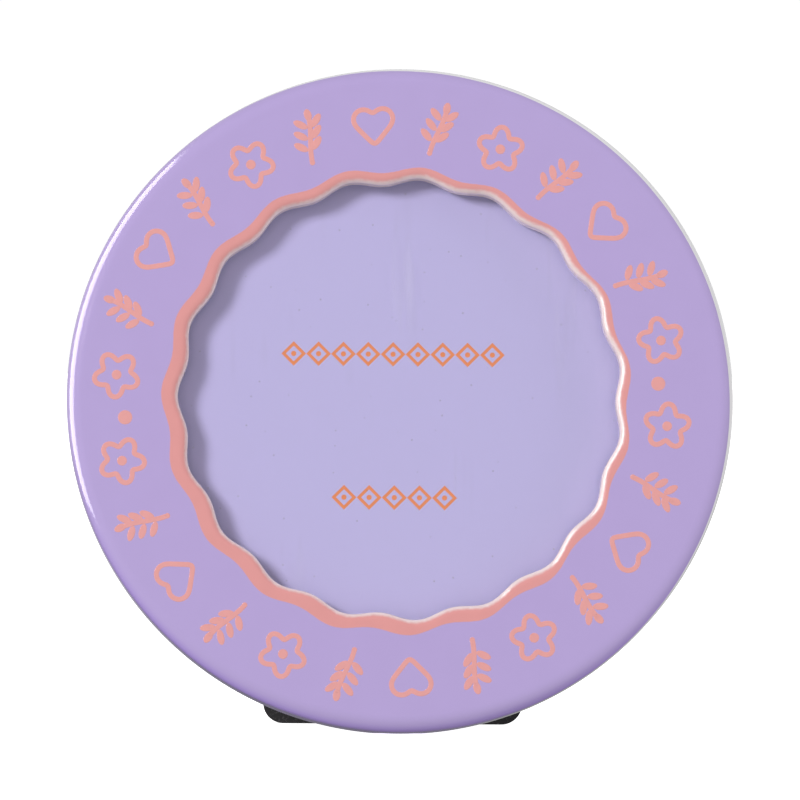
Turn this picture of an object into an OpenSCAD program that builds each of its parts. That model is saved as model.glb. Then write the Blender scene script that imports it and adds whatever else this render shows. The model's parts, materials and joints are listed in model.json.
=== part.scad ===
// Round table photo frame: a ceramic ring with a scalloped window, a glass and picture pack, a
// velvet-covered back with a door held by four turn buttons, and an easel strut on a hinge.
//
// The frame is laid out upright, with x to the right as seen from the front, y from the front face
// backwards and z up from the centre of the ring. It is then leaned back and set on the table, z = 0.

/* [Stance] */
// Angle by which the frame leans back from upright, in degrees
lean = 7; // [6:0.5:12]
// Angle between the open strut and the back door, in degrees
strut_open = 17; // [15:0.5:26]

/* [Ceramic ring] */
// Width of the ring from the picture's seat to its outer rim
band_w = 21.5; // [18:0.5:30]
// Depth of the ring, from its face to its back edge
body_t = 12; // [11:0.5:16]
// Radius of the rounded front rim
rim_r = 3.5; // [1:0.5:4.5]
// Radius of the rounded back rim
back_rim_r = 1.2; // [0.4:0.1:2]
// Depth of the flat that is ground under the rim, on which the ring stands
rim_flat = 0.2; // [0.1:0.05:0.4]
// Depth of the recess in the ring's back that takes the back board
recess_depth = 2.2; // [1.5:0.1:3]
// Width of the ceramic wall around that recess
recess_wall = 4.5; // [3:0.5:7]

/* [Window] */
// How far the picture reaches past the crests of the window's edge
picture_cover = 1.64; // [1:0.02:4]
// Number of waves around the window
waves = 19; // [8:1:30]
// Height of a wave over the mean, and its depth under it
wave_h = 0.76; // [0.3:0.02:1.2]
// Angle of the first wave's crest, counter-clockwise from the right, in degrees
wave_turn = 9.2; // [0:0.1:18]
// Radius of the rounded window edge
window_r = 2; // [0.5:0.1:2.5]

/* [Picture pack] */
// Diameter of the picture, cut from a square sheet of the same width
picture_d = 100; // [98:0.5:106]
// Thickness of the picture
picture_t = 0.3; // [0.2:0.05:0.5]
// Thickness of the glass
glass_t = 2; // [1.5:0.1:2.5]
// Thickness of the filler card
filler_t = 1.9; // [1:0.1:2.5]
// Play of the pack in its seat, all round
pack_play = 1; // [0.5:0.1:1.5]

/* [Back board and door] */
// Thickness of the board ring that is glued into the ceramic
ring_t = 2; // [1.5:0.1:3]
// Thickness of the door's board
door_t = 2.5; // [2:0.1:3]
// Thickness of the velvet paper
velvet_t = 0.5; // [0.3:0.1:0.7]
// Gap between the door and the ring that it sits in
door_gap = 0.5; // [0.3:0.1:1]
// Gap between the board ring and the ceramic around it
ring_gap = 0.4; // [0.2:0.1:0.8]
// How far the door's back lies under the ring's back
door_sink = 0.1; // [0.05:0.05:0.3]

/* [Turn buttons] */
// Angle of the buttons above and below the horizontal, in degrees
button_angle = 40; // [30:1:45]
// Width of a turn button
button_w = 8; // [6:0.5:10]
// Thickness of a turn button
button_t = 0.8; // [0.5:0.1:1.2]
// Distance of a button's rivet from the edge of the door opening
button_edge = 5.5; // [4.5:0.5:8]
// How far a button's tip reaches over the door
button_hold = 6; // [4:0.5:8]
// Play between a button and the velvet, and under its rivet head
button_play = 0.1; // [0.05:0.05:0.2]

/* [Rivets] */
// Radius of a rivet's shank
shank_r = 1.25; // [1:0.05:1.5]
// Radius of a rivet's domed head
head_r = 2.6; // [2.2:0.1:3]
// Height of a rivet's domed head
head_h = 0.9; // [0.6:0.1:1.2]
// Thickness of the flange at a rivet's far end
flange_t = 0.5; // [0.3:0.1:0.8]

/* [Easel hinge] */
// Distance of the hinge pin below the door's top edge
pin_drop = 25.5; // [20:0.5:35]
// Radius of the hinge pin
pin_r = 0.8; // [0.6:0.1:1]
// Radial clearance between a moving piece and the pin or rivet that it turns on
running_gap = 0.05; // [0.02:0.01:0.1]
// Outer radius of a hinge knuckle
knuckle_r = 1.6; // [1.5:0.1:2.2]
// Gap between a knuckle and the face that it turns in front of
knuckle_gap = 0.3; // [0.2:0.1:0.6]
// Width of the hinge
hinge_w = 24; // [18:1:30]
// Length of each hinge leaf below the pin
leaf_l = 14; // [12:1:18]
// Thickness of the hinge leaves
leaf_t = 0.8; // [0.6:0.1:1]
// Distance of the leaf rivets below the pin
rivet_drop = 8.5; // [7:0.5:9]
// Distance between the two rivets of a leaf
rivet_pitch = 14; // [12:0.5:16]

/* [Strut] */
// Width of the strut at its foot
strut_foot_w = 57.5; // [40:0.5:64]
// Width of the strut at its top
strut_top_w = 38; // [32:0.5:40]
// Thickness of the strut's board
strut_t = 2.5; // [2:0.1:3]
// Thickness of the lining on the strut's inner face
lining_t = 0.5; // [0.3:0.1:0.7]
// Corner radius of the strut
strut_corner_r = 4.5; // [3:0.5:6]
// Play between the strut's top edge and the door that stops it
stop_play = 0.1; // [0.05:0.05:0.3]

/* [Hidden] */

$fn = 96;
// Points along one wave of the window, and steps around its rounded edge and a corner of the strut
wave_steps = 12;
edge_steps = 4;
corner_steps = 12;
// How far a cutter reaches past what it cuts
over = 1;
// Radius of the velvet where it wraps an edge
velvet_edge_r = velvet_t * 0.9;

// The seat of the picture pack, the window in front of it and the ring around it
seat_r = picture_d / 2 + pack_play;
glass_r = seat_r - pack_play / 2;
window_mean_r = picture_d / 2 - picture_cover - wave_h;
body_r = seat_r + band_w;
recess_r = body_r - recess_wall;
recess_y = body_t - recess_depth;

// The back board, from the recess to its velvet back
ring_back_y = recess_y + ring_t + velvet_t;
ring_outer_r = recess_r - ring_gap;
opening_r = seat_r;

// The door and the pack in front of it, each against the next
door_r = opening_r - door_gap;
door_back_y = ring_back_y - door_sink;
door_front_y = door_back_y - velvet_t - door_t;
filler_y = door_front_y - filler_t;
picture_y = filler_y - picture_t;
glass_y = picture_y - glass_t;

// The turn buttons
button_r = opening_r + button_edge;
button_reach = button_edge + door_gap + button_hold;
button_y = ring_back_y + button_play;
button_head_y = button_y + button_t + button_play;

// The hinge, as offsets from its pin
pin_off = knuckle_r + knuckle_gap;
pin_y = door_back_y + pin_off;
pin_z = door_r - pin_drop;
knuckle_play = 0.2;
knuckle_w = (hinge_w - 2 * knuckle_play) / 3;
leaf_corner_r = 2;
leaf_head_h = min(head_h, (2 * pin_off - 2 * leaf_t) * 0.35);

// The strut, as offsets from the hinge pin
strut_front = pin_off;
strut_back = strut_front + lining_t + strut_t + velvet_t;
strut_top = (pin_off * (1 + cos(strut_open)) - stop_play) / sin(strut_open);
strut_lean = strut_open - lean;

// The stance: the ring stands on its ground back rim, and the strut reaches the table
centre_z = (body_r - back_rim_r) * cos(lean) + (body_t - back_rim_r) * sin(lean)
    + back_rim_r - rim_flat;
pin_table_y = pin_y * cos(lean) + pin_z * sin(lean);
pin_table_z = centre_z + pin_z * cos(lean) - pin_y * sin(lean);
strut_l = (pin_table_z + strut_back * sin(strut_lean)) / cos(strut_lean);
front_y = rim_r * cos(lean) - (body_r - rim_r) * sin(lean) - rim_r;
foot_y = pin_table_y + strut_back * cos(strut_lean) + strut_l * sin(strut_lean);
middle_y = (front_y + foot_y) / 2;

// Leans the upright frame back and sets it on the table
module standing() {
    translate([0, -middle_y, centre_z]) rotate([-lean, 0, 0]) children();
}

// Opens the strut, which is laid out folded against the door
module opened() {
    translate([0, pin_y, pin_z]) rotate([strut_open, 0, 0]) translate([0, -pin_y, -pin_z]) children();
}

// Keeps what lies over a height above the table
module above(height) {
    difference() {
        children();
        translate([-2 * body_r, -2 * body_r, height - body_r]) cube([4 * body_r, 4 * body_r, body_r]);
    }
}

// A flat outline, drawn as seen from the front, made a slab from depth y0 to depth y1
module slab(y0, y1) {
    translate([0, y1, 0]) rotate([90, 0, 0]) linear_extrude(y1 - y0) children();
}

// A profile of radius and depth, turned around the middle of the ring
module turned() {
    rotate([-90, 0, 0]) rotate_extrude() children();
}

// The square less the quarter circle that rounds an outer edge of radius r at the profile's corner
module round_off(radius, depth, r, back = false) {
    centre = depth + (back ? -r : r);
    difference() {
        translate([radius - r, back ? centre : depth - over]) square([r + over, r + over]);
        translate([radius - r, centre]) circle(r);
    }
}

function wave_radius(angle) = window_mean_r + wave_h * cos(waves * (angle - wave_turn));

// Rings of the window's cutter as [depth, widening], from before the face to behind the lip
window_rings = [
    [-over, window_r],
    for (i = [0 : edge_steps])
        [window_r * (1 - cos(90 * i / edge_steps)), window_r * (1 - sin(90 * i / edge_steps))],
    [glass_y + over, 0]
];

module window_cutter() {
    count = waves * wave_steps;
    last = len(window_rings) - 1;
    points = [
        for (ring = window_rings, j = [0 : count - 1])
            let (angle = 360 * j / count, r = wave_radius(angle) + ring[1])
                [r * cos(angle), ring[0], r * sin(angle)]
    ];
    walls = [
        for (k = [0 : last - 1], j = [0 : count - 1])
            let (a = k * count + j, b = k * count + (j + 1) % count)
                each [[a, b, b + count], [a, b + count, a + count]]
    ];
    front_cap = [for (j = [count - 1 : -1 : 0]) j];
    back_cap = [for (j = [0 : count - 1]) last * count + j];
    polyhedron(points, concat([front_cap, back_cap], walls), convexity = 6);
}

module frame_body() {
    color([0.71, 0.63, 0.84])
    above(0) standing() difference() {
        turned() difference() {
            square([body_r, body_t]);
            round_off(body_r, 0, rim_r);
            round_off(body_r, body_t, back_rim_r, back = true);
            translate([0, glass_y]) square([seat_r, body_t]);
            translate([0, recess_y]) square([recess_r, body_t]);
        }
        window_cutter();
    }
}

// A plain disc between two depths
module disc(radius, y0, y1) {
    translate([0, y1, 0]) rotate([90, 0, 0]) cylinder(r = radius, h = y1 - y0);
}

module glass_pane() {
    color([0.85, 0.9, 0.95, 0.35])
    standing() disc(glass_r, glass_y, picture_y);
}

module photo_insert() {
    color([0.73, 0.70, 0.87])
    standing() disc(picture_d / 2, picture_y, filler_y);
}

module filler_card() {
    color([0.8, 0.76, 0.68])
    standing() disc(picture_d / 2, filler_y, door_front_y);
}

// The four places of the turn buttons, with x pointing to the middle of the door
module at_button(side, level) {
    angle = side > 0 ? level * button_angle : 180 - level * button_angle;
    rotate([0, -angle, 0]) translate([button_r, 0, 0]) mirror([1, 0, 0]) children();
}

module at_buttons() {
    for (side = [-1, 1], level = [-1, 1]) at_button(side, level) children();
}

// A round bar along y from depth y0 to depth y1
module bar(radius, y0, y1) {
    translate([0, y1, 0]) rotate([90, 0, 0]) cylinder(r = radius, h = y1 - y0);
}

// The holes that a rivet needs: its shank's, and the pocket of its flange at depth y0
module rivet_hole(y0, y1, pocket) {
    bar(shank_r, y0 - over, y1 + over);
    if (pocket) bar(head_r, y0 - over, y0 + flange_t);
}

module ring_board() {
    color([0.62, 0.5, 0.38])
    standing() difference() {
        turned() translate([opening_r + velvet_t, recess_y])
            square([ring_outer_r - opening_r - 2 * velvet_t, ring_t]);
        at_buttons() rivet_hole(recess_y, ring_back_y, pocket = true);
    }
}

module ring_cover() {
    color([0.12, 0.12, 0.13])
    standing() difference() {
        turned() difference() {
            translate([opening_r, recess_y]) square([ring_outer_r - opening_r, ring_t + velvet_t]);
            translate([opening_r + velvet_t, recess_y - over])
                square([ring_outer_r - opening_r - 2 * velvet_t, ring_t + over]);
            round_off(ring_outer_r, ring_back_y, velvet_edge_r, back = true);
        }
        at_buttons() rivet_hole(recess_y, ring_back_y, pocket = false);
    }
}

// The two places of the leaf rivets
module at_leaf_rivets() {
    for (side = [-1, 1])
        translate([side * rivet_pitch / 2, 0, pin_z - rivet_drop]) children();
}

module door_board() {
    color([0.62, 0.5, 0.38])
    standing() difference() {
        disc(door_r - velvet_t, door_front_y, door_front_y + door_t);
        at_leaf_rivets() rivet_hole(door_front_y, door_back_y, pocket = true);
    }
}

module door_cover() {
    color([0.12, 0.12, 0.13])
    standing() difference() {
        turned() difference() {
            translate([0, door_front_y]) square([door_r, door_t + velvet_t]);
            translate([0, door_front_y - over]) square([door_r - velvet_t, door_t + over]);
            round_off(door_r, door_back_y, velvet_edge_r, back = true);
        }
        at_leaf_rivets() rivet_hole(door_front_y, door_back_y, pocket = false);
    }
}

module turn_button(side, level) {
    color([0.75, 0.74, 0.72])
    standing() at_button(side, level) difference() {
        slab(button_y, button_y + button_t) {
            circle(button_w / 2);
            translate([0, -button_w / 2]) square([button_reach - button_w / 2, button_w]);
            translate([button_reach - button_w / 2, 0]) circle(button_w / 2);
        }
        bar(shank_r + running_gap, button_y - over, button_y + button_t + over);
    }
}

// The domed head of a rivet, a cap of a ball, standing on depth 0
module dome(height) {
    ball_r = (head_r * head_r + height * height) / (2 * height);
    turned() intersection() {
        square([head_r, height]);
        translate([0, height - ball_r]) circle(ball_r);
    }
}

// A rivet from the flange at depth y0 to the underside of its head at depth y1
module rivet(y0, y1, height) {
    bar(shank_r, y0, y1);
    bar(head_r, y0, y0 + flange_t);
    translate([0, y1, 0]) dome(height);
}

module button_rivets() {
    color([0.78, 0.77, 0.75])
    standing() at_buttons() rivet(recess_y, button_head_y, head_h);
}

// One knuckle of the hinge, the left, middle or right one for place -1, 0 or 1
module knuckle(place) {
    x0 = place * (knuckle_w + knuckle_play) - knuckle_w / 2;
    translate([x0, pin_y, pin_z]) rotate([0, 90, 0]) cylinder(r = knuckle_r, h = knuckle_w);
}

module pin_bore() {
    translate([-hinge_w, pin_y, pin_z]) rotate([0, 90, 0])
        cylinder(r = pin_r + running_gap, h = 2 * hinge_w);
}

// A hinge leaf from depth y0 to depth y1, which hangs below the pin and rolls into its knuckles
module leaf(y0, y1, places) {
    reach = knuckle_r + knuckle_gap;
    difference() {
        union() {
            slab(y0, y1) {
                translate([-hinge_w / 2, pin_z - leaf_l + leaf_corner_r])
                    square([hinge_w, leaf_l - leaf_corner_r - reach]);
                translate([-hinge_w / 2 + leaf_corner_r, pin_z - leaf_l])
                    square([hinge_w - 2 * leaf_corner_r, leaf_l - reach]);
                for (side = [-1, 1])
                    translate([side * (hinge_w / 2 - leaf_corner_r), pin_z - leaf_l + leaf_corner_r])
                        circle(leaf_corner_r);
                for (place = places)
                    translate([place * (knuckle_w + knuckle_play) - knuckle_w / 2, pin_z - reach - over])
                        square([knuckle_w, reach + over]);
            }
            for (place = places) knuckle(place);
        }
        pin_bore();
        at_leaf_rivets() bar(shank_r, y0 - over, y1 + over);
    }
}

module hinge_door_leaf() {
    color([0.75, 0.74, 0.72])
    standing() leaf(door_back_y, door_back_y + leaf_t, [-1, 1]);
}

module hinge_strut_leaf() {
    color([0.75, 0.74, 0.72])
    standing() opened() leaf(pin_y + strut_front - leaf_t, pin_y + strut_front, [0]);
}

module hinge_pin() {
    color([0.7, 0.69, 0.67])
    standing() translate([-hinge_w / 2, pin_y, pin_z]) rotate([0, 90, 0])
        cylinder(r = pin_r, h = hinge_w);
}

module door_leaf_rivets() {
    color([0.78, 0.77, 0.75])
    standing() at_leaf_rivets() rivet(door_front_y, door_back_y + leaf_t, leaf_head_h);
}

module strut_leaf_rivets() {
    inner_y = pin_y + strut_front - leaf_t;
    outer_y = pin_y + strut_back;
    color([0.78, 0.77, 0.75])
    standing() opened() at_leaf_rivets() {
        bar(shank_r, inner_y, outer_y);
        translate([0, outer_y, 0]) dome(head_h);
        translate([0, inner_y, 0]) mirror([0, 1, 0]) dome(leaf_head_h);
    }
}

// Points along a round corner, from one angle to another
function corner(centre, r, from, to) = [
    for (i = [0 : corner_steps])
        let (angle = from + (to - from) * i / corner_steps) centre + r * [cos(angle), sin(angle)]
];

// The strut's outline, a tapered board with four round corners, drawn in by an inset
module strut_outline(inset) {
    r = strut_corner_r - inset;
    top_x = strut_top_w / 2 - strut_corner_r;
    top_z = pin_z + strut_top - strut_corner_r;
    foot_x = strut_foot_w / 2 - strut_corner_r;
    foot_z = pin_z - strut_l + strut_corner_r;
    taper = atan2(foot_x - top_x, top_z - foot_z);
    polygon(concat(
        corner([top_x, top_z], r, taper, 90),
        corner([-top_x, top_z], r, 90, 180 - taper),
        corner([-foot_x, foot_z], r, 180 - taper, 270),
        corner([foot_x, foot_z], r, 270, 360 + taper)
    ));
}

module strut_board() {
    y0 = pin_y + strut_front + lining_t;
    color([0.62, 0.5, 0.38])
    above(velvet_t) standing() opened() difference() {
        slab(y0, y0 + strut_t) strut_outline(velvet_t);
        at_leaf_rivets() bar(shank_r, y0 - over, y0 + strut_t + over);
    }
}

module strut_cover() {
    y0 = pin_y + strut_front + lining_t;
    color([0.14, 0.14, 0.15])
    difference() {
        above(0) standing() opened() difference() {
            slab(y0, y0 + strut_t + velvet_t) strut_outline(0);
            at_leaf_rivets() bar(shank_r, y0 - over, y0 + strut_t + velvet_t + over);
        }
        above(velvet_t) standing() opened() slab(y0 - over, y0 + strut_t) strut_outline(velvet_t);
    }
}

module strut_lining() {
    y0 = pin_y + strut_front;
    color([0.17, 0.17, 0.18])
    above(0) standing() opened() difference() {
        slab(y0, y0 + lining_t) strut_outline(0);
        at_leaf_rivets() bar(shank_r, y0 - over, y0 + lining_t + over);
    }
}

frame_body();
glass_pane();
photo_insert();
filler_card();
ring_board();
ring_cover();
door_board();
door_cover();
turn_button(-1, 1);  // turn_button_upper_left
turn_button(1, 1);  // turn_button_upper_right
turn_button(-1, -1);  // turn_button_lower_left
turn_button(1, -1);  // turn_button_lower_right
button_rivets();
hinge_door_leaf();
hinge_strut_leaf();
hinge_pin();
door_leaf_rivets();
strut_leaf_rivets();
strut_board();
strut_cover();
strut_lining();
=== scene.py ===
import json
import math

import bmesh
import bpy
from mathutils import Matrix, Vector


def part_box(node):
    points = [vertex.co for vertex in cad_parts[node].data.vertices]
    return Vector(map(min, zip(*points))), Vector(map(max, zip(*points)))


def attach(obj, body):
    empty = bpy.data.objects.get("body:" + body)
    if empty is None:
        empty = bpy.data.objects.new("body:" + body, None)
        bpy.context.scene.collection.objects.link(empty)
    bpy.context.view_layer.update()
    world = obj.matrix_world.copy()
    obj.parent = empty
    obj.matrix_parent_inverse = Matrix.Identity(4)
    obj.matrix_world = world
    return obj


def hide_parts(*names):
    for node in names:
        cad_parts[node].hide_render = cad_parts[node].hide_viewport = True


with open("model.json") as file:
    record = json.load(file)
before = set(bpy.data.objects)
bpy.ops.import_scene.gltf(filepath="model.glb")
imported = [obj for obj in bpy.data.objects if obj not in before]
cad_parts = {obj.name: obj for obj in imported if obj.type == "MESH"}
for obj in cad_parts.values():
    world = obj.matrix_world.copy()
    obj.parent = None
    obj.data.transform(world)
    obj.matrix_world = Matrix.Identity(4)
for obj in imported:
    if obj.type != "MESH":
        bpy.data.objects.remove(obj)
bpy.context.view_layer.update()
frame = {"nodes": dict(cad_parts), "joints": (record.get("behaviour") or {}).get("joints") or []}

# The stance. The ring leans back on its strut, so its pieces are laid out in millimetres in a frame of
# their own: to the right as seen from the front, backwards from the face, and up from the centre.
mm = 0.001
joints = {joint["name"]: joint for joint in frame["joints"]}
back = Vector(joints["upper_left_button_turn"]["axis"])
lean = math.atan2(-back.z, back.y)
glass_low, glass_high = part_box("glass_pane")
glass_middle = (glass_low + glass_high) / 2
face = min(vertex.co.dot(back) for vertex in frame["nodes"]["frame_body"].data.vertices)
ring_middle = glass_middle + back * (face - glass_middle.dot(back))
ring_frame = Matrix.Translation(ring_middle) @ Matrix.Rotation(-lean, 4, "X") @ Matrix.Scale(mm, 4)


def reach(node, placed):
    """The lowest and highest corner of a CAD node in another frame, in millimetres."""
    inverse = placed.inverted()
    points = [inverse @ vertex.co for vertex in frame["nodes"][node].data.vertices]
    low = Vector([min(point[axis] for point in points) for axis in range(3)])
    high = Vector([max(point[axis] for point in points) for axis in range(3)])
    return low, high


# The camera. It looks at the face from a little to the left and just above its middle, through a long
# lens from one and a half metres, held a fraction of a degree off level.
camera_distance = 1.5
camera_left = math.radians(2.0)
camera_above = math.radians(0.75)
camera_roll = math.radians(0.5)
camera_lens = 311.1
camera_sensor = 36
camera_aim = ring_middle + Vector((-0.19, 0, -0.58)) * mm
towards_camera = Vector((
    -math.sin(camera_left) * math.cos(camera_above),
    -math.cos(camera_left) * math.cos(camera_above),
    math.sin(camera_above),
))


def add_object(name, data):
    """A new object of the scene."""
    made = bpy.data.objects.new(name, data)
    bpy.context.scene.collection.objects.link(made)
    return made


camera_data = bpy.data.cameras.new("camera")
camera_data.lens = camera_lens
camera_data.sensor_width = camera_sensor
camera = add_object("camera", camera_data)
camera.matrix_world = (
    Matrix.Translation(camera_aim + towards_camera * camera_distance)
    @ towards_camera.to_track_quat("Z", "Y").to_matrix().to_4x4()
    @ Matrix.Rotation(camera_roll, 4, "Z")
)
bpy.context.scene.camera = camera


# The ceramic ring. It is slip-cast in white clay with a wavy window and a rounded rim, and glazed white
# but for its recess and the edge that it was fired on. Its face carries a lilac print with a coral line
# round the window, laid on a little low and to the left, so white glaze shows at the upper right.
ring_high = reach("frame_body", ring_frame)[1]
ring_r = ring_high.x
ring_t = ring_high.y
rim_r = 3.5
back_rim_r = 1.2
side_wall = 4.5
lip_t = 5.0
edge_r = 2.0
waves = 19
wave_h = 0.76
wave_turn = math.radians(9.2)
window_r = 47.6
seat_r = 51.0
recess_r = ring_r - side_wall
recess_depth = 2.2
arris = 0.3
steps_in_wave = 28
ring_steps = waves * steps_in_wave


def window_at(angle):
    return window_r + wave_h * math.cos(waves * (angle - wave_turn))


def turns(count):
    """The angles of equal steps round a circle."""
    return [2 * math.pi * step / count for step in range(count)]


def arc(steps, radius, first, last):
    """Points of an arc as (across, along) pairs from one angle to another, in degrees."""
    angles = [math.radians(first + (last - first) * step / steps) for step in range(steps + 1)]
    return [(radius * math.cos(angle), radius * math.sin(angle)) for angle in angles]


def around_ring(follow, radius, depth):
    """One row round the ring. It follows the window's waves wholly, partly or not at all."""
    row = []
    for angle in turns(ring_steps):
        r = follow * window_at(angle) + radius
        row.append((r * math.cos(angle), depth, r * math.sin(angle)))
    return row


def skin(rows, rows_close=False, capped=False):
    """A sheet of four-sided faces over closed rows of points, with its faces pointing outwards."""
    merge = 1e-5
    sheet = bmesh.new()
    grid = [[sheet.verts.new(point) for point in row] for row in rows]
    row_pairs = list(zip(grid, grid[1:]))
    if rows_close:
        row_pairs.append((grid[-1], grid[0]))
    for one, other in row_pairs:
        for column in range(len(one)):
            after = (column + 1) % len(one)
            sheet.faces.new((one[column], one[after], other[after], other[column]))
    if capped:
        sheet.faces.new(list(reversed(grid[0])))
        sheet.faces.new(grid[-1])
    bmesh.ops.remove_doubles(sheet, verts=sheet.verts, dist=merge)
    bmesh.ops.recalc_face_normals(sheet, faces=sheet.faces)
    return sheet


def as_mesh(name, sheet):
    """A mesh of a sheet, which is used up."""
    mesh = bpy.data.meshes.new(name)
    sheet.to_mesh(mesh)
    sheet.free()
    return mesh


def smooth(mesh):
    mesh.polygons.foreach_set("use_smooth", [True] * len(mesh.polygons))


def finished(name, sheet, placed, sharp=35, floor=False):
    """The mesh of a sheet, set in its place, and with nothing of it under the table where asked."""
    sheet.transform(placed)
    if floor:
        for vertex in sheet.verts:
            vertex.co.z = max(vertex.co.z, 0)
    mesh = as_mesh(name, sheet)
    smooth(mesh)
    mesh.set_sharp_from_angle(angle=math.radians(sharp))
    return mesh


def add_piece(name, mesh, material, body):
    """One piece of the real object, which moves with a body of the frame."""
    mesh.materials.clear()
    mesh.materials.append(material)
    piece = add_object(name, mesh)
    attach(piece, body)
    return piece


# Each point of the ring's profile says how far it follows the waves, its radius past them and its depth
lip_depths = (lip_t, 4.4, 3.6, 2.8)
face_shares = (0.05, 0.15, 0.3, 0.5, 0.7, 0.85, 0.95)
side_depths = (5.0, 7.0, 9.0)
face_edge_r = ring_r - rim_r
recess_floor = ring_t - recess_depth
ring_profile = [(1, 0, depth) for depth in lip_depths]
ring_profile += [(1, edge_r - along, edge_r - across) for across, along in arc(12, edge_r, 90, 0)]
ring_profile += [
    (1 - share, (1 - share) * edge_r + share * face_edge_r, 0) for share in face_shares
]
ring_profile += [
    (0, face_edge_r + along, rim_r - across) for across, along in arc(16, rim_r, 0, 90)
]
ring_profile += [(0, ring_r, depth) for depth in side_depths]
ring_profile += [
    (0, ring_r - back_rim_r + across, ring_t - back_rim_r + along)
    for across, along in arc(8, back_rim_r, 0, 90)
]
ring_profile += [
    (0, recess_r + arris - along, ring_t - arris + across)
    for across, along in arc(3, arris, 0, 90)
]
ring_profile += [(0, recess_r, recess_floor), (0, seat_r + arris, recess_floor)]
ring_profile += [(0, seat_r, recess_floor - arris), (0, seat_r, lip_t)]
ring_sheet = skin([around_ring(*row) for row in ring_profile], rows_close=True)


class Wire:
    """A socket in a node tree. Arithmetic on it adds Math nodes, and node() adds any other kind."""

    def __init__(self, tree, socket):
        self.tree = tree
        self.socket = socket

    def node(self, kind, settings, sockets, output=0):
        made = self.tree.nodes.new(kind)
        for name, value in settings.items():
            setattr(made, name, value)
        for name, value in sockets.items():
            if isinstance(value, Wire):
                self.tree.links.new(value.socket, made.inputs[name])
            else:
                made.inputs[name].default_value = value
        return Wire(self.tree, made.outputs[output])

    def output(self, name):
        return Wire(self.tree, self.socket.node.outputs[name])

    def math(self, operation, *values):
        return self.node("ShaderNodeMath", {"operation": operation}, dict(enumerate(values)))

    def __add__(self, other):
        return self.math("ADD", self, other)

    def __sub__(self, other):
        return self.math("SUBTRACT", self, other)

    def __rsub__(self, other):
        return self.math("SUBTRACT", other, self)

    def __mul__(self, other):
        return self.math("MULTIPLY", self, other)

    __radd__ = __add__
    __rmul__ = __mul__


def new_finish(name, constants):
    """A material with one shader, its constant values, and the wire of the piece's coordinates."""
    material = bpy.data.materials.new(name)
    material.use_nodes = True
    tree = material.node_tree
    shader = tree.nodes["Principled BSDF"]
    for socket, value in constants.items():
        shader.inputs[socket].default_value = value
    coordinates = tree.nodes.new("ShaderNodeTexCoord")
    return material, shader, Wire(tree, coordinates.outputs["Object"])


def paint(shader, **wires):
    """Feeds what varies over the surface to the shader."""
    for name, wire in wires.items():
        wire.tree.links.new(wire.socket, shader.inputs[name.replace("_", " ")])


def in_frame(coordinates, placed):
    """Coordinates in millimetres in another frame."""
    sockets = {
        "Vector": coordinates,
        "Location": placed.to_translation(),
        "Rotation": placed.to_euler(),
        "Scale": (mm, mm, mm),
    }
    return coordinates.node("ShaderNodeMapping", {"vector_type": "TEXTURE"}, sockets)


def split(vector):
    """The three coordinates of a place."""
    x = vector.node("ShaderNodeSeparateXYZ", {}, {0: vector})
    return x, x.output("Y"), x.output("Z")


def polar(x, z):
    return x.math("SQRT", x * x + z * z), x.math("ARCTAN2", z, x)


def rise(value, start, end):
    """A smooth step from 0 at one value to 1 at another."""
    sockets = {"Value": value, "From Min": start, "From Max": end}
    return value.node("ShaderNodeMapRange", {"interpolation_type": "SMOOTHSTEP"}, sockets)


def noise(place, scale, detail=2.0, roughness=0.5):
    sockets = {"Vector": place, "Scale": scale, "Detail": detail, "Roughness": roughness}
    return place.node("ShaderNodeTexNoise", {}, sockets)


def mixed(share, one, other):
    """The first colour where the share is 0, and the second where it is 1."""
    return share.node("ShaderNodeMix", {"data_type": "RGBA"}, {0: share, 6: one, 7: other}, 2)


def relief(height, distance, strength):
    sockets = {"Height": height, "Distance": distance, "Strength": strength}
    return height.node("ShaderNodeBump", {}, sockets)


def shaded(colour, factor):
    """A colour made lighter or darker."""
    return [min(1.0, part * factor) for part in colour[:3]] + [1]


def varied(place, colour, scale, amount):
    """A colour that drifts a little lighter and darker over the surface."""
    return mixed(noise(place, scale), shaded(colour, 1 - amount), shaded(colour, 1 + amount))


lilac = (0.500, 0.392, 0.720, 1)
# A deeper lilac, painted shade for the low side of the rim
rim_shade_lilac = (0.435, 0.300, 0.760, 1)
coral = (0.80, 0.345, 0.335, 1)
white_glaze = (0.90, 0.89, 0.91, 1)
tinted_glaze = (0.93, 0.76, 0.72, 1)
bare_clay = (0.74, 0.71, 0.66, 1)

glaze, glaze_shader, glaze_place = new_finish("printed glaze", {"IOR": 1.5})
ring_point = in_frame(glaze_place, ring_frame)
ring_x, ring_depth, ring_z = split(ring_point)
body_radius, body_angle = polar(ring_x, ring_z)
edge_drift = noise(ring_point, 0.9, 1.0) - 0.5
hem_drift = noise(ring_point, 0.12, 1.0) - 0.5

# The coral line has waves of its own, and lies off the ring's centre with the rest of the print
print_shift = (-0.80, -0.59)
print_turn = math.radians(8.15)
coral_r = 50.5
coral_wave_h = 0.71
coral_blur = 0.12
print_radius, print_angle = polar(ring_x - print_shift[0], ring_z - print_shift[1])
coral_wave = print_angle.math("COSINE", (print_angle - print_turn) * waves)
past_coral = print_radius - coral_wave * coral_wave_h - coral_r + edge_drift * coral_blur
on_coral = 1 - rise(past_coral, -coral_blur, coral_blur)

# The print starts on the window's rounded edge, further in at the left than at the right
spray_start = (0.05, 1.05)
spray_waver = 0.4
spray_slant = 0.004
spray_slant_up = 0.3
spray_level_x = -20
window_wave = body_angle.math("COSINE", (body_angle - wave_turn) * waves)
from_window = body_radius - window_wave * wave_h - window_r
sprayed_from = (ring_z * spray_slant_up - ring_x + spray_level_x) * spray_slant
past_edge = rise(from_window + sprayed_from + edge_drift * spray_waver, *spray_start)

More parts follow.
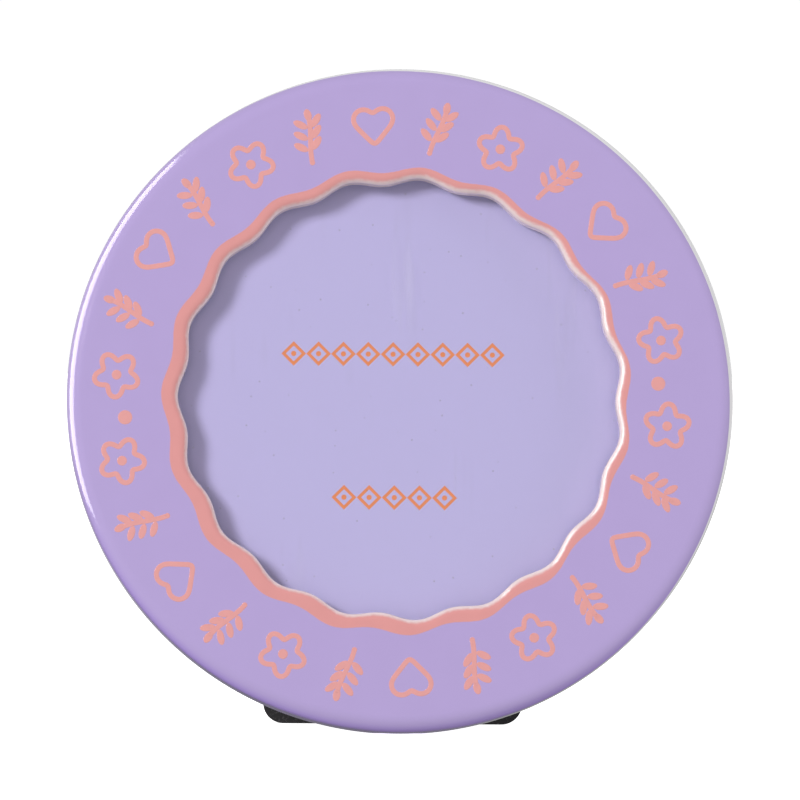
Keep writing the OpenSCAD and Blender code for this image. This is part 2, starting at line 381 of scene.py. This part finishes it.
# It ends in the window's wall, and at the outside short of the back or at its own round edge
wall_hem = (3, 4.5)
side_hem = (11.1, 11.4)
inside_r = (recess_r + 0.2, recess_r + 0.5)
print_r = (72.43, 72.51)
print_r_slant = 0.04
print_r_waver = 0.1
inside = 1 - rise(body_radius, *inside_r)
before_back = 1 - rise(ring_depth + hem_drift, *side_hem)
in_front = 1 - rise(ring_depth, *wall_hem) * inside
outwards = print_radius + ring_depth * print_r_slant + hem_drift * print_r_waver
printed = past_edge * before_back * in_front * (1 - rise(outwards, *print_r))

# The lilac is painted darker round the low side of the rim, as painted shade where the rim turns down
# from the light, and the white is tinted at the window's edge
rim_depth = (0.3, 2.2)
low_side = (-60, 0)
tint_fade = (0.0, 1.5)
low_rim_shade = rise(ring_depth, *rim_depth) * (1 - rise(ring_z, *low_side))
lilac_with_rim_shade = mixed(low_rim_shade, varied(ring_point, lilac, 0.12, 0.02), rim_shade_lilac)
print_colour = mixed(on_coral, lilac_with_rim_shade, varied(ring_point, coral, 0.2, 0.04))
clean_white = varied(ring_point, white_glaze, 0.05, 0.015)
white_colour = mixed(rise(from_window, *tint_fade), tinted_glaze, clean_white)
glazed_colour = mixed(printed, white_colour, print_colour)

fired_edge = (ring_t - 0.12, ring_t - 0.04)
recess_start = (lip_t + 0.1, lip_t + 0.4)
on_edge = rise(ring_depth, *fired_edge)
bare = on_edge.math("MAXIMUM", on_edge, rise(ring_depth, *recess_start) * inside)
ripple = noise(ring_point, 0.25, 3.0)
clay_grain = noise(ring_point, 6.0, 4.0)
paint(
    glaze_shader,
    Base_Color=mixed(bare, glazed_colour, varied(ring_point, bare_clay, 1.5, 0.08)),
    Roughness=0.11 + noise(ring_point, 0.08) * 0.05 + bare * 0.7,
    Normal=relief(ripple + clay_grain * bare * 0.4, 0.05 * mm, 0.7),
)
ring_mesh = finished("ceramic_ring", ring_sheet, ring_frame, floor=True)
ceramic_ring = add_piece("ceramic_ring", ring_mesh, glaze, "frame")
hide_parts("frame_body")


# The ornament on the ring. Flowers, sprigs and hearts are printed over the lilac in thick coral enamel
# that stands a little proud of the glaze, one after another round the ring, with a plain dot on either
# side. Each motif is drawn once and set round the ring by one row of points.
stroke_r = 0.6
enamel_h = 0.03
enamel_sink = 0.03
stroke_profile = (
    (-1, -enamel_sink), (-0.88, 0.5 * enamel_h), (-0.5, 0.95 * enamel_h),
    (0.5, 0.95 * enamel_h), (0.88, 0.5 * enamel_h), (1, -enamel_sink),
)
drop_profile = (
    (1, -enamel_sink), (0.96, 0.5 * enamel_h), (0.8, 0.9 * enamel_h), (0.4, enamel_h),
    (0.02, enamel_h),
)
drop_steps = 28


def stroke(points, closed):
    """A rounded line of enamel along points of the face."""
    last = len(points) - 1
    rows = []
    for index, (x, z) in enumerate(points):
        before = points[index - 1] if closed or index > 0 else points[0]
        after = points[(index + 1) % len(points)] if closed or index < last else points[last]
        along = Vector((after[0] - before[0], after[1] - before[1])).normalized()
        row = []
        for across, height in stroke_profile:
            side = across * stroke_r
            row.append((x - along.y * side, -height, z + along.x * side))
        rows.append(row)
    return skin(rows, rows_close=closed, capped=not closed)


def drop(x, z, long_r, short_r, turn=0.0):
    """A low round or oval drop of enamel on the face."""
    rows = []
    for share, height in drop_profile:
        row = []
        for angle in turns(drop_steps):
            u = share * long_r * math.cos(angle)
            v = share * short_r * math.sin(angle)
            row.append((
                x + u * math.cos(turn) - v * math.sin(turn),
                -height,
                z + u * math.sin(turn) + v * math.cos(turn),
            ))
        rows.append(row)
    return skin(rows, capped=True)


def joined(name, parts):
    """One mesh of several, which are used up."""
    whole = bmesh.new()
    for part in parts:
        whole.from_mesh(part)
        bpy.data.meshes.remove(part)
    return as_mesh(name, whole)


def motif(name, lines, drops):
    """One motif, from closed and open lines and round or oval drops of enamel."""
    sheets = [stroke(points, closed) for points, closed in lines]
    sheets += [drop(*sizes) for sizes in drops]
    for points, closed in lines:
        if not closed:
            sheets += [drop(x, z, stroke_r, stroke_r) for x, z in (points[0], points[-1])]
    drawn = joined(name, [as_mesh("part", sheet) for sheet in sheets])
    return bpy.data.objects.new(name, drawn)


def rounded_line(points, rounds, step=0.25):
    """A closed line through the points in equal steps, with its corners rounded over."""
    places = [Vector(point) for point in points + points[:1]]
    lengths = [0.0]
    for before, after in zip(places, places[1:]):
        lengths.append(lengths[-1] + (after - before).length)
    count = round(lengths[-1] / step)
    line = []
    index = 0
    for number in range(count):
        along = lengths[-1] * number / count
        while lengths[index + 1] <= along:
            index += 1
        share = (along - lengths[index]) / (lengths[index + 1] - lengths[index])
        line.append(places[index].lerp(places[index + 1], share))
    for _ in range(rounds):
        line = [
            (line[number - 1] + line[number] * 2 + line[(number + 1) % count]) / 4
            for number in range(count)
        ]
    return [tuple(point) for point in line]


petals = 5
petal_inner_r = 2.6
petal_h = 2.5
flower_eye_r = 1.1
petal_line = []
for turn in turns(240):
    r = petal_inner_r + petal_h * abs(math.sin(petals * turn / 2))
    petal_line.append((r * math.cos(turn), r * math.sin(turn)))
flower_line = rounded_line(petal_line, rounds=20)
flower_eye = (0, 0, flower_eye_r, flower_eye_r)

lobe_r = 2.3
lobe_x = 2.1
lobe_z = 1.8
heart_tip = (0.0, -4.0)
right_lobe = [(lobe_x + across, lobe_z + along) for across, along in arc(40, lobe_r, 156, -42)]
left_lobe = [(-x, z) for x, z in reversed(right_lobe)]
heart_line = rounded_line(right_lobe + [heart_tip] + left_lobe, rounds=18)

stem_steps = 16
stem_low = -5.2
stem_length = 9.6
stem_bend = 1.1
stem_curl = 1.3
leaf_long_r = 1.75
leaf_short_r = 0.82
leaf_up = 1.5
leaf_spread = 48
end_leaf_up = 0.7
end_leaf_long_r = 1.4
end_leaf_short_r = 0.85
stem_line = []
for step in range(stem_steps + 1):
    share = 2 * step / stem_steps - 1
    x = stem_bend * math.sin(stem_curl * share)
    stem_line.append((x, stem_low + stem_length * (share + 1) / 2))
leaves = []
for x, z in (stem_line[4], stem_line[8], stem_line[12]):
    for side in (-1, 1):
        leaf_turn = math.radians(90 - side * leaf_spread)
        leaf_x = x + side * leaf_long_r
        leaves.append((leaf_x, z + leaf_up, leaf_long_r, leaf_short_r, leaf_turn))
end_x, end_z = stem_line[-1]
leaves.append((
    end_x, end_z + end_leaf_up, end_leaf_long_r, end_leaf_short_r, math.radians(90),
))

# Each motif with its first place in the row, and every how many places it comes again
motifs = [
    ("flowers", motif("flower", [(flower_line, True)], [flower_eye]), 0, 4),
    ("sprigs", motif("sprig", [(stem_line, False)], leaves), 1, 2),
    ("hearts", motif("heart", [(heart_line, True)], []), 2, 4),
]

enamel_colour = (0.84, 0.38, 0.365, 1)
enamel, enamel_shader, enamel_place = new_finish("coral enamel", {"IOR": 1.5})
enamel_point = in_frame(enamel_place, ring_frame)
paint(
    enamel_shader,
    Base_Color=varied(enamel_point, enamel_colour, 0.5, 0.05),
    Roughness=0.2 + noise(enamel_point, 0.4) * 0.1,
    Normal=relief(noise(enamel_point, 1.2, 2.0), 0.02 * mm, 0.5),
)


def node_group(name, inputs):
    """A geometry node tree with named inputs: the inputs as wires, the output node and the tree."""
    tree = bpy.data.node_groups.new(name, "GeometryNodeTree")
    tree.interface.new_socket("Geometry", in_out="OUTPUT", socket_type="NodeSocketGeometry")
    for label, kind in inputs.items():
        tree.interface.new_socket(label, in_out="INPUT", socket_type="NodeSocket" + kind)
    source = tree.nodes.new("NodeGroupInput")
    wires = {label: Wire(tree, source.outputs[label]) for label in inputs}
    return wires, tree.nodes.new("NodeGroupOutput"), tree


def set_on(points, shape, material, end, **turn):
    """Ends a tree with a copy of a shape on every point, as real geometry with its material."""
    drawn = points.node("GeometryNodeObjectInfo", {}, {"Object": shape}, "Geometry")
    sockets = {"Points": points, "Instance": drawn, **turn}
    copies = points.node("GeometryNodeInstanceOnPoints", {}, sockets)
    real = points.node("GeometryNodeRealizeInstances", {}, {"Geometry": copies})
    done = points.node("GeometryNodeSetMaterial", {}, {"Geometry": real, "Material": material})
    points.tree.links.new(done.socket, end.inputs["Geometry"])


def grown(name, base, tree, values):
    """The plain mesh that a geometry node tree makes, with its inputs set by their identifiers."""
    grower = add_object(name, base)
    modifier = grower.modifiers.new(name, "NODES")
    modifier.node_group = tree
    for item in tree.interface.items_tree:
        if item.in_out == "INPUT" and item.name in values:
            modifier[item.identifier] = values[item.name]
    evaluated = grower.evaluated_get(bpy.context.evaluated_depsgraph_get())
    mesh = bpy.data.meshes.new_from_object(evaluated)
    grower.modifiers.remove(modifier)
    bpy.data.objects.remove(grower)
    mesh.name = name
    smooth(mesh)
    return mesh


row_in, row_end, row_tree = node_group("row round the ring", {
    "Motif": "Object", "Radius": "Float", "Count": "Int", "First": "Float", "Step": "Float",
    "Material": "Material",
})
row_index = row_in["Step"].node("GeometryNodeInputIndex", {}, {})
row_angle = row_in["First"] - row_index * row_in["Step"]
row_place = row_angle.node("ShaderNodeCombineXYZ", {}, {
    0: row_in["Radius"] * row_angle.math("COSINE", row_angle),
    2: row_in["Radius"] * row_angle.math("SINE", row_angle),
})
row_turn = row_angle.node("ShaderNodeCombineXYZ", {}, {1: math.pi / 2 - row_angle})
row_points = row_place.node("GeometryNodePoints", {}, {
    "Count": row_in["Count"], "Position": row_place,
})
set_on(row_points, row_in["Motif"], row_in["Material"], row_end, Rotation=row_turn)

ornament_shift = Vector((-1.9, 0, -0.7))
ornament_frame = ring_frame @ Matrix.Translation(ornament_shift)


def row_of(name, drawn, radius, first, step, count):
    """Copies of a motif in equal steps round the ring, with their feet towards its centre."""
    values = {
        "Motif": drawn, "Radius": radius, "Count": count, "First": first, "Step": step,
        "Material": enamel,
    }
    mesh = grown(name, bpy.data.meshes.new(name), row_tree, values)
    mesh.transform(ornament_frame)
    return mesh


ornament_r = 60.0
motifs_in_row = 13
row_span = math.radians(162)
row_gap = math.radians(9)
dot_turn = math.radians(4.1)
motif_step = row_span / (motifs_in_row - 1)
for name, drawn, first_place, every in motifs:
    count = len(range(first_place, motifs_in_row, every))
    halves = []
    for row_start in (math.pi, 0):
        first = row_start + dot_turn - row_gap - motif_step * first_place
        halves.append(row_of(name, drawn, ornament_r, first, motif_step * every, count))
    add_piece("enamel_" + name, joined("enamel_" + name, halves), enamel, "frame")

dot_r = 1.6
dot_row_r = 58.0
dot = motif("dot", [], [(0, 0, dot_r, dot_r)])
dots_mesh = row_of("enamel_dots", dot, dot_row_r, math.pi + dot_turn, math.pi, 2)
add_piece("enamel_dots", dots_mesh, enamel, "frame")


# The glass. A round pane is cut from clear float glass, its edge is ground, and it lies behind the lip.
# It reflects a little of the room, more at a slant, and carries faint wiping smears and specks of dust.
glass_r = 50.5
glass_t = 2
glass_ground = 0.25
glass_front = lip_t + 0.02
glass_back = lip_t + glass_t - 0.03
glass_profile = [
    (0, glass_r - glass_ground, glass_front), (0, glass_r, glass_front + glass_ground),
    (0, glass_r, glass_back - glass_ground), (0, glass_r - glass_ground, glass_back),
]
glass_sheet = skin([around_ring(*row) for row in glass_profile], capped=True)

smear_turn = math.radians(8)
smear_length = 0.12
clear_glass, glass_shader, glass_place = new_finish("clear glass", {"Base Color": (1, 1, 1, 1)})
glass_point = in_frame(glass_place, ring_frame)
wiped = glass_point.node("ShaderNodeMapping", {}, {
    "Vector": glass_point, "Rotation": (0, smear_turn, 0), "Scale": (1, 1, smear_length),
})
smears = rise(noise(wiped, 0.16, 2.0), 0.60, 0.78)
dust_cells = {"Vector": glass_point, "Scale": 0.22}
from_speck = glass_point.node("ShaderNodeTexVoronoi", {}, dust_cells, "Distance")
dust = 1 - rise(from_speck, 0.035, 0.07)
into_glass = 1 - glass_place.node("ShaderNodeNewGeometry", {}, {}, "Backfacing")
mirror = glass_place.node("ShaderNodeFresnel", {}, {"IOR": 1.5}) * into_glass
paint(
    glass_shader,
    Metallic=1 - smears,
    Alpha=mirror + smears * 0.06 + dust * 0.12,
    Roughness=0.02 + smears * 0.3 + dust * 0.6,
)
glass_mesh = finished("ground_glass", glass_sheet, ring_frame)
ground_glass = add_piece("ground_glass", glass_mesh, clear_glass, "frame")
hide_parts("glass_pane")


# The picture. A disc of coated paper is cut from the printed sheet that such a frame is sold with,
# lavender with two rows of plain orange diamonds and dots, and it lies against the glass.
lavender = (0.555, 0.507, 0.815, 1)
orange = (0.86, 0.27, 0.08, 1)
diamond_inset = 0.5
line_edge = (0.4, 0.56)
spot_edge = (0.5, 0.64)
row_end_edge = 0.1
picture, picture_shader, picture_place = new_finish("printed picture", {"IOR": 1.45})
picture_point = in_frame(picture_place, ring_frame)
picture_x, _, picture_z = split(picture_point)


def diamond_row(x, z, row_z, pitch, count):
    """A row of outlined diamonds whose corners touch, with a dot in the middle of each."""
    half = pitch / 2
    height = x.math("ABSOLUTE", z - row_z)
    from_dot = x.math("PINGPONG", x + half * (count - 1), half)
    from_line = x.math("ABSOLUTE", from_dot + height - half + diamond_inset)
    line = 1 - rise(from_line, *line_edge)
    spot = 1 - rise(x.math("SQRT", from_dot * from_dot + height * height), *spot_edge)
    in_row = 1 - rise(x.math("ABSOLUTE", x), half * count - row_end_edge, half * count)
    return x.math("MAXIMUM", line, spot) * in_row


def coat(node, material):
    """Gives a CAD node its finish."""
    frame["nodes"][node].material_slots[0].material = material


upper_row = diamond_row(picture_x + 1.5, picture_z, 10.2, 5.42, 9)
lower_row = diamond_row(picture_x + 1.1, picture_z, -21.2, 5.48, 5)
ink = upper_row.math("MAXIMUM", upper_row, lower_row) * 0.95
paper_grain = noise(picture_point, 9.0, 4.0, 0.6)
paint(
    picture_shader,
    Base_Color=mixed(ink, varied(picture_point, lavender, 5.0, 0.02), orange),
    Roughness=0.42 + paper_grain * 0.15,
    Normal=relief(paper_grain, 0.01 * mm, 0.4),
)
coat("photo_insert", picture)


# The filler and the boards. A card presses the picture to the glass. The ring that is glued into the
# ceramic, the door and the strut are pressed fibre board, cut with a die.
def fibre_board(name, colour, fleck):
    """Board whose fibres lie in thin layers, with darker flecks."""
    material, shader, place = new_finish(name, {"Roughness": 0.9})
    point = in_frame(place, ring_frame)
    layers = point.node("ShaderNodeMapping", {}, {"Vector": point, "Scale": (1, 12, 1)})
    fibres = noise(layers, 0.9, 5.0, 0.7)
    flecks = rise(noise(point, 3.5, 2.0), 0.62, 0.72)
    paint(
        shader,
        Base_Color=mixed(flecks * 0.6, mixed(fibres, colour, shaded(colour, 1.2)), fleck),
        Normal=relief(fibres + noise(point, 8.0) * 0.5, 0.06 * mm, 0.6),
    )
    return material


card_grey = (0.52, 0.46, 0.36, 1)
card_fleck = (0.32, 0.26, 0.19, 1)
board_brown = (0.30, 0.21, 0.14, 1)
board_fleck = (0.16, 0.10, 0.06, 1)
coat("filler_card", fibre_board("filler card", card_grey, card_fleck))
board = fibre_board("pressed board", board_brown, board_fleck)
for node in ("ring_board", "door_board", "strut_board"):
    coat(node, board)


# The velvet. Black flocked paper is glued over the backs of the ring board and the door and wrapped
# round their edges. The pile lies in soft patches and catches a grey sheen at a slant.
def flocked(name, colour, pile_h):
    """Flocked paper with patches of laid pile, tufts and paler specks."""
    material, shader, place = new_finish(name, {
        "Roughness": 0.95, "Specular IOR Level": 0.2, "Sheen Weight": 0.35,
        "Sheen Roughness": 0.45, "Sheen Tint": (0.55, 0.54, 0.56, 1),
    })
    point = in_frame(place, ring_frame)
    nap = noise(point, 0.05, 3.0)
    tufts = noise(point, 5.0, 4.0, 0.75)
    specks = rise(noise(point, 2.0, 3.0, 0.7), 0.53, 0.68)
    pile = mixed(nap * 0.5 + tufts * 0.5, shaded(colour, 0.5), colour)
    paint(
        shader,
        Base_Color=mixed(specks * 0.6, pile, shaded(colour, 2.6)),
        Normal=relief(tufts, pile_h * mm, 0.9),
    )
    return material


velvet = flocked("black velvet", (0.090, 0.085, 0.093, 1), 0.12)
coat("ring_cover", velvet)
coat("door_cover", velvet)


# The turn buttons. Four tabs are stamped from nickel-plated steel and tumbled, so their edges are soft,
# and each swivels on its rivet over the edge of the door.
nickel = (0.66, 0.64, 0.61, 1)
tab_edge_r = 0.22
button_sides = ("upper_left", "upper_right", "lower_left", "lower_right")
steel, steel_shader, steel_place = new_finish("nickel-plated steel", {"Metallic": 1.0})
steel_point = in_frame(steel_place, ring_frame)
rolled = steel_point.node("ShaderNodeMapping", {}, {"Vector": steel_point, "Scale": (0.3, 1, 6)})
scratches = noise(rolled, 1.2, 5.0, 0.65)
bloom = noise(steel_point, 0.35, 3.0)
paint(
    steel_shader,
    Base_Color=varied(steel_point, nickel, 0.4, 0.06),
    Roughness=0.24 + scratches * 0.14 + bloom * 0.1,
    Normal=relief(scratches, 0.01 * mm, 0.4),
)


def softened(name, node, round_r):
    """A copy of a CAD node with its sharp edges rounded over."""
    flat = math.radians(0.5)
    sharp = math.radians(40)
    sheet = bmesh.new()
    sheet.from_mesh(frame["nodes"][node].data)
    bmesh.ops.remove_doubles(sheet, verts=sheet.verts, dist=0.002 * mm)
    bmesh.ops.dissolve_limit(sheet, angle_limit=flat, verts=sheet.verts, edges=sheet.edges)
    bmesh.ops.triangulate(sheet, faces=[facet for facet in sheet.faces if len(facet.verts) > 4])
    edges = [
        edge for edge in sheet.edges
        if len(edge.link_faces) == 2 and edge.calc_face_angle() > sharp
    ]
    bmesh.ops.bevel(
        sheet, geom=edges, offset=round_r * mm, segments=3, profile=0.5, affect="EDGES",
        clamp_overlap=True,
    )
    bmesh.ops.remove_doubles(sheet, verts=sheet.verts, dist=0.001 * mm)
    bmesh.ops.recalc_face_normals(sheet, faces=sheet.faces)
    return finished(name, sheet, Matrix.Identity(4))


for side in button_sides:
    node = "turn_button_" + side
    tab_mesh = softened("tab_" + side, node, tab_edge_r)
    tab = add_piece("tab_" + side, tab_mesh, steel, "button_" + side)
    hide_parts(node)


# The rivets. They are semi-tubular and of steel, with a low domed head that the punch left a dimple in,
# and a tail spread flat on the far side. Four hold the buttons and two hold each leaf of the hinge.
shank_r = 1.25
head_r = 2.6
rivet_rim = 0.12
tail_t = 0.5
rivet_steps = 40
rivet_sharp = math.radians(50)
dimple_profile = ((0.0, 0.72), (0.45, 0.74), (0.75, 0.93))
dome_shares = (0.4, 0.55, 0.7, 0.82, 0.92)


def rivet(name, length, head_h, tailed):
    """A rivet along the depth axis, with its head's underside at 0 and its far end in front."""
    dome_r = (head_r ** 2 + head_h ** 2) / (2 * head_h)
    profile = [(r, share * head_h) for r, share in dimple_profile]
    for share in dome_shares:
        r = share * head_r
        profile.append((r, head_h - dome_r + math.sqrt(dome_r ** 2 - r ** 2)))
    profile += [
        (head_r - 0.3 * rivet_rim, 1.2 * rivet_rim), (head_r, 0.6 * rivet_rim),
        (head_r - 0.5 * rivet_rim, 0.0), (shank_r, 0.0),
    ]
    if tailed:
        tail = tail_t - length
        profile += [
            (shank_r, tail), (head_r - rivet_rim, tail), (head_r, tail - rivet_rim),
            (head_r, rivet_rim - length), (head_r - rivet_rim, -length),
        ]
    else:
        profile += [(shank_r, -length)]
    profile += [(0.0, -length)]
    rows = []
    for r, depth in profile:
        r = max(r, 1e-4)
        rows.append([(r * math.cos(t), depth, r * math.sin(t)) for t in turns(rivet_steps)])
    return bpy.data.objects.new(name, as_mesh(name, skin(rows, capped=True)))


rivet_in, rivet_end, rivet_tree = node_group("rivets", {
    "Places": "Geometry", "Rivet": "Object", "Material": "Material",
})
set_on(rivet_in["Places"], rivet_in["Rivet"], rivet_in["Material"], rivet_end)


def add_rivets(name, places, shape, placed, body, node):
    """One piece of rivets, which stands for the CAD node that holds them all."""
    base = bpy.data.meshes.new(name)
    base.from_pydata(places, [], [])
    mesh = grown(name, base, rivet_tree, {"Rivet": shape, "Material": steel})
    mesh.transform(placed)
    mesh.set_sharp_from_angle(angle=rivet_sharp)
    piece = add_piece(name, mesh, steel, body)
    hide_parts(node)


button_low, button_high = reach("button_rivets", ring_frame)
button_head_h = 0.9
button_head_depth = button_high.y - button_head_h
button_places = []
for side in button_sides:
    pivot = ring_frame.inverted() @ Vector(joints[side + "_button_turn"]["pos_m"])
    button_places.append((pivot.x, button_head_depth, pivot.z))
button_rivet = rivet("button rivet", button_head_depth - button_low.y, button_head_h, True)
add_rivets("rivets_of_tabs", button_places, button_rivet, ring_frame, "frame", "button_rivets")


# The easel hinge. Two leaves are cut from steel strip and rolled round a plain steel pin. One leaf is
# riveted to the door and the other to the inner face of the strut.
rivet_pitch = 14.0
rivet_drop = 8.5
leaf_t = 0.8
leaf_edge_r = 0.15
open_turn = -math.radians(joints["strut_fold"]["range_deg"][0])
strut_frame = (
    Matrix.Translation(Vector(joints["strut_fold"]["pos_m"]))
    @ Matrix.Rotation(open_turn - lean, 4, "X")
    @ Matrix.Scale(mm, 4)
)
hinge_bodies = {"hinge_door_leaf": "frame", "hinge_strut_leaf": "strut", "hinge_pin": "frame"}
for node, body in hinge_bodies.items():
    hinge_mesh = softened("rolled_" + node, node, leaf_edge_r)
    hinge_piece = add_piece("rolled_" + node, hinge_mesh, steel, body)
    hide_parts(node)


def side_by_side(depth, z):
    return [(side * rivet_pitch / 2, depth, z) for side in (-1, 1)]


door_rivet_low, door_rivet_high = reach("door_leaf_rivets", ring_frame)
leaf_back = reach("door_cover", ring_frame)[1].y + leaf_t
leaf_head_h = door_rivet_high.y - leaf_back
door_places = side_by_side(leaf_back, (door_rivet_low.z + door_rivet_high.z) / 2)
door_rivet = rivet("door rivet", leaf_back - door_rivet_low.y, leaf_head_h, True)
add_rivets(
    "rivets_of_door_leaf", door_places, door_rivet, ring_frame, "frame", "door_leaf_rivets")

strut_rivet_low, strut_rivet_high = reach("strut_leaf_rivets", strut_frame)
strut_head_depth = strut_rivet_high.y - button_head_h
strut_places = side_by_side(strut_head_depth, -rivet_drop)
strut_rivet = rivet("strut rivet", strut_head_depth - strut_rivet_low.y, button_head_h, False)
add_rivets(
    "rivets_of_strut_leaf", strut_places, strut_rivet, strut_frame, "strut", "strut_leaf_rivets")


# The strut. A tapered board is wrapped in the same black velvet paper over its back and edges, and a
# sheet of black lining paper is glued over its inner face. Its foot is cut level with the table.
strut_low, strut_high = reach("strut_cover", strut_frame)
board_back = reach("strut_board", strut_frame)[1].y
strut_foot_w = 57.5
strut_top_w = 38.0
strut_corner_r = 4.5
corner_steps = 12
wrap_r = 0.9
velvet_t = 0.5
lining_arris = 0.1


def strut_outline(inset, depth):
    """The strut's outline, drawn in by an inset, with its foot level with the table at each depth."""
    top_x = strut_top_w / 2 - strut_corner_r
    foot_x = strut_foot_w / 2 - strut_corner_r
    top_z = strut_high.z - strut_corner_r
    foot_rise = (strut_high.y - depth) * math.tan(open_turn - lean)
    foot_z = strut_low.z + foot_rise + strut_corner_r
    taper = math.degrees(math.atan2(foot_x - top_x, top_z - foot_z))
    corners = (
        (top_x, top_z, taper, 90),
        (-top_x, top_z, 90, 180 - taper),
        (-foot_x, foot_z, 180 - taper, 270),
        (foot_x, foot_z, 270, 360 + taper),
    )
    row = []
    for x, z, first, last in corners:
        corner = arc(corner_steps, strut_corner_r - inset, first, last)
        row += [(x + across, depth, z + along) for across, along in corner]
    return row


strut_rows = [
    strut_outline(velvet_t, board_back), strut_outline(velvet_t, strut_low.y),
    strut_outline(0.0, strut_low.y),
]
strut_rows += [
    strut_outline(wrap_r - across, strut_high.y - wrap_r + along)
    for across, along in arc(5, wrap_r, 0, 90)
]
strut_rows += [strut_outline(inset, strut_high.y) for inset in (2.0, 4.0)]
strut_sheet = skin(strut_rows, capped=True)
strut_mesh = finished("strut_velvet", strut_sheet, strut_frame, sharp=50, floor=True)
strut_velvet = add_piece("strut_velvet", strut_mesh, velvet, "strut")
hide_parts("strut_cover")

lining_low, lining_high = reach("strut_lining", strut_frame)
lining_sheet = skin([
    strut_outline(lining_arris, lining_low.y), strut_outline(0.0, lining_low.y + lining_arris),
    strut_outline(0.0, lining_high.y),
], capped=True)
lining_mesh = finished("strut_inner_sheet", lining_sheet, strut_frame, floor=True)
lining = flocked("black lining", (0.045, 0.043, 0.046, 1), 0.04)
inner_sheet = add_piece("strut_inner_sheet", lining_mesh, lining, "strut")
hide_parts("strut_lining")


# The table and the light. A white table stands in a white tent that is dimmer low down at the back. A
# soft key light stands at the upper left in front and a weak one at the right, and the reflection of
# a tall panel on the left runs along the rim.
scene = bpy.context.scene
scene.view_settings.view_transform = "Standard"
world = bpy.data.worlds.new("white room")
world.use_nodes = True
background = world.node_tree.nodes["Background"]
background.inputs["Color"].default_value = (1, 1, 1, 1)
background.inputs["Strength"].default_value = 1.02
scene.world = world


def add_stage(name, sheet, material):
    """Something of the studio, which is no part of the object."""
    mesh = finished(name, sheet, Matrix.Identity(4))
    mesh.materials.append(material)
    stage = add_object(name, mesh)
    return stage


table_r = 8
table_material, table_shader, table_place = new_finish("white table", {
    "Roughness": 0.6, "Emission Strength": 1.0, "Emission Color": (1, 1, 1, 1),
})
paint(table_shader, Base_Color=varied(table_place, (0.9, 0.9, 0.9, 1), 8.0, 0.01))
table_sheet = bmesh.new()
bmesh.ops.create_circle(table_sheet, cap_ends=True, radius=table_r, segments=64)
table = add_stage("table", table_sheet, table_material)
table.visible_diffuse = False
table.visible_glossy = False

tent_r = 9
tent_glow = 0.53
tent_fade = 0.17
back_low_fade = 0.35
back_high_gain = 0.65
tent_material = bpy.data.materials.new("tent")
tent_material.use_nodes = True
tent_nodes = tent_material.node_tree.nodes
tent_nodes.remove(tent_nodes["Principled BSDF"])
tent_coordinates = tent_nodes.new("ShaderNodeTexCoord").outputs["Object"]
tent_place = Wire(tent_material.node_tree, tent_coordinates)
_, tent_depth, tent_height = split(tent_place)
behind = rise(tent_depth, 2, 7)
behind_light = rise(tent_height, -1.8, 0) * back_high_gain - back_low_fade
tent_light = tent_glow - rise(tent_height, -3, 3) * tent_fade + behind * behind_light
tent_shader = tent_place.node("ShaderNodeEmission", {}, {"Color": tent_light})
tent_place.tree.links.new(tent_shader.socket, tent_nodes["Material Output"].inputs["Surface"])
tent_sheet = bmesh.new()
bmesh.ops.create_icosphere(tent_sheet, subdivisions=4, radius=tent_r)
tent = add_stage("tent", tent_sheet, tent_material)
tent.visible_camera = False


def panel(name, place, length, width, power):
    """A soft light that faces the middle of the ring."""
    data = bpy.data.lights.new(name, "AREA")
    data.shape = "RECTANGLE"
    data.size = length
    data.size_y = width
    data.energy = power
    light = add_object(name, data)
    towards = ring_middle - Vector(place)
    turned = towards.to_track_quat("-Z", "Z").to_matrix().to_4x4()
    light.matrix_world = Matrix.Translation(Vector(place)) @ turned
    return light


key_light = panel("key light", (-1.5, -1.78, 0.95), 0.6, 0.6, 38.5)
key_light.visible_glossy = False
left_panel = panel("left panel", (-0.6, -0.02, 0.27), 0.84, 0.42, 11)
left_panel.visible_diffuse = False
right_light = panel("right light", (0.9, -0.2, 0.3), 0.5, 0.5, 2.7)
right_light.visible_glossy = False
